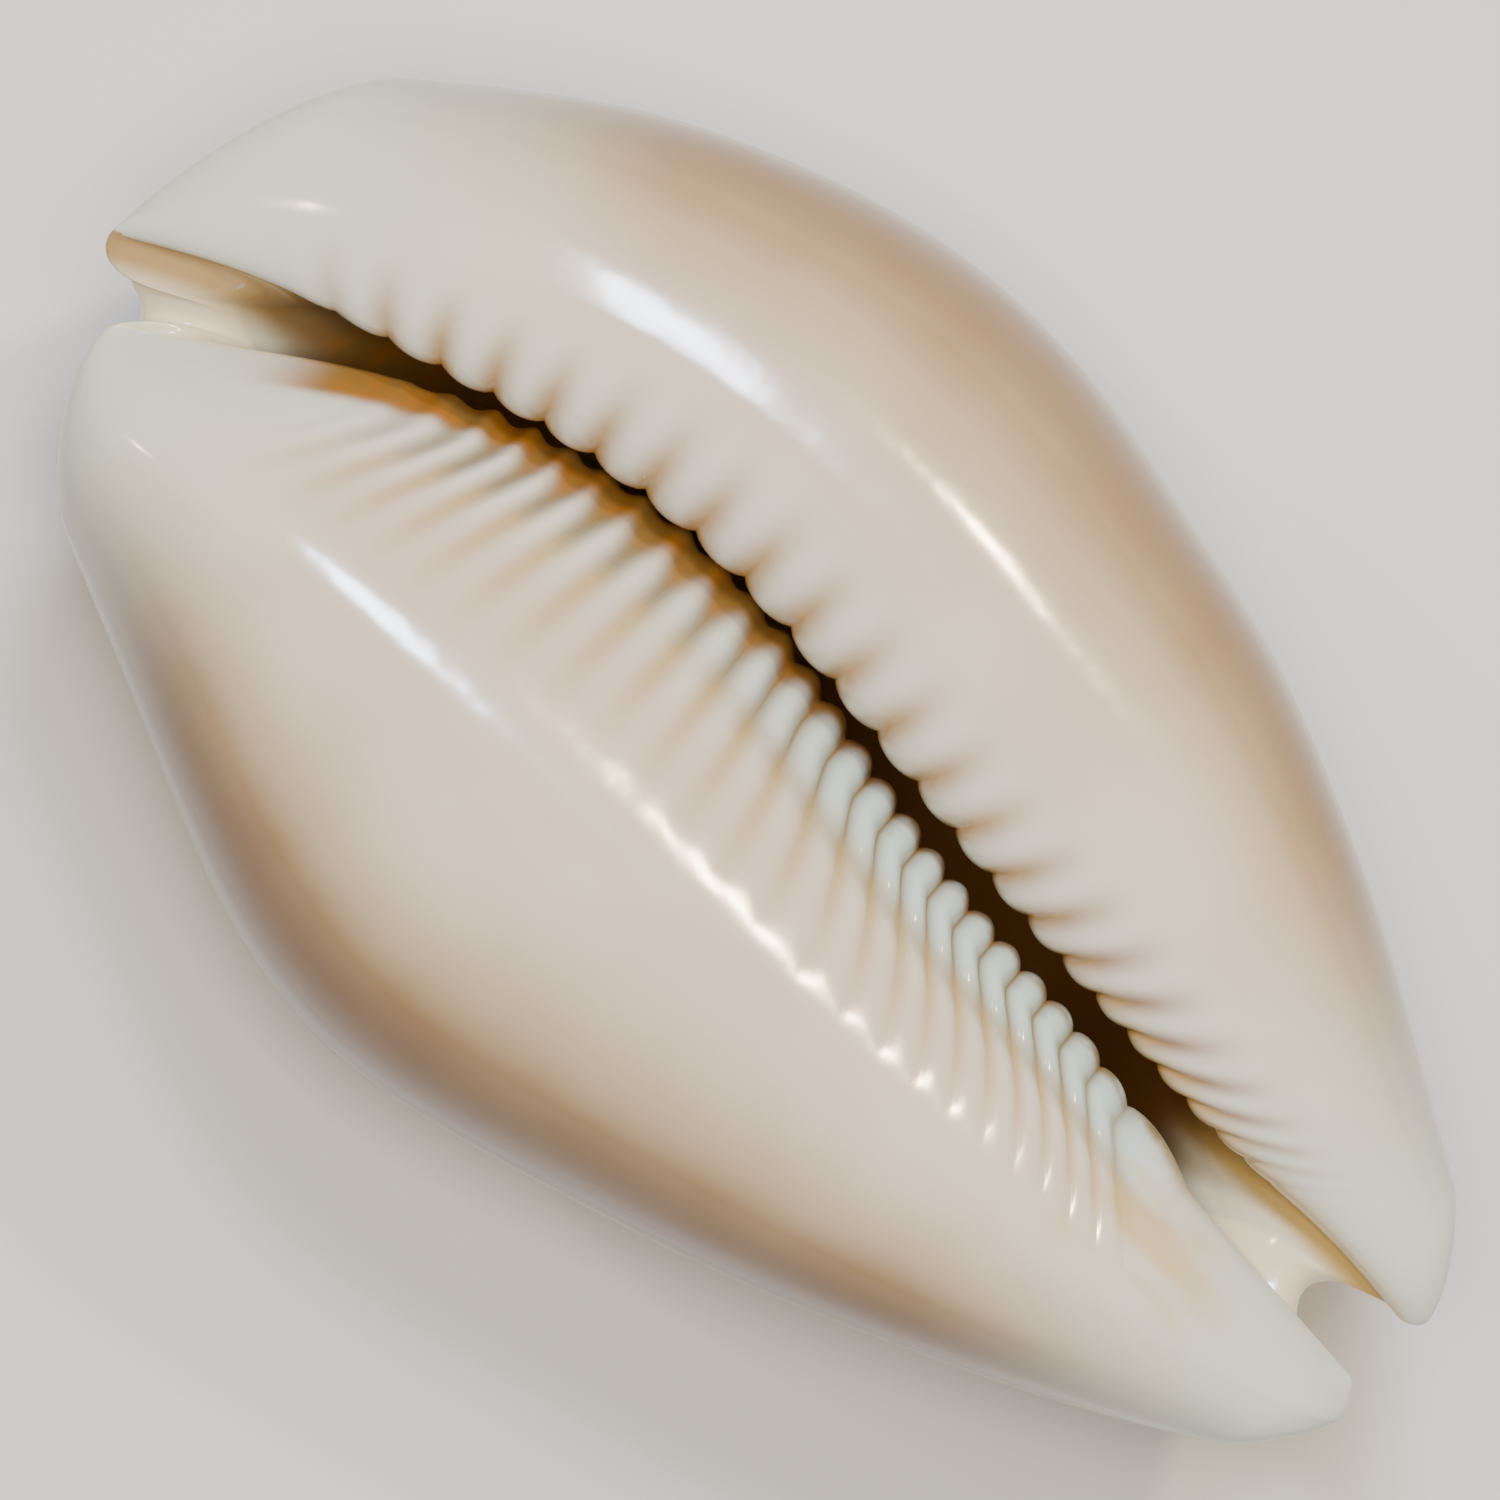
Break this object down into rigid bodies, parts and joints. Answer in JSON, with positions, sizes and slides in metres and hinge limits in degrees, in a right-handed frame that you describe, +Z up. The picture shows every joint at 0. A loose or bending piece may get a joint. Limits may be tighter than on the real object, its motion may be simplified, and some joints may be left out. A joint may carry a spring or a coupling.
{
  "type": "pacific deer cowrie shell",
  "caption": "Empty glossy cowrie shell lying on its humped back, with a narrow toothed slit along its flat base and a notch at each end.",
  "frame": {"origin": "bottom centre of the bounding box, on the surface the shell rests on", "axes": "+X towards the front (siphon) end, +Y towards the outer lip, +Z up, out of the slit in the base"},
  "size_m": [0.0599, 0.036, 0.0292],
  "materials": {
    "porcelain": "naturally polished shell enamel: cream to pinkish beige on the base, fawn towards the back, ochre in the grooves and brown inside the slit"
  },
  "bodies": {
    "root": {"shell": "porcelain"}
  },
  "joints": []
}
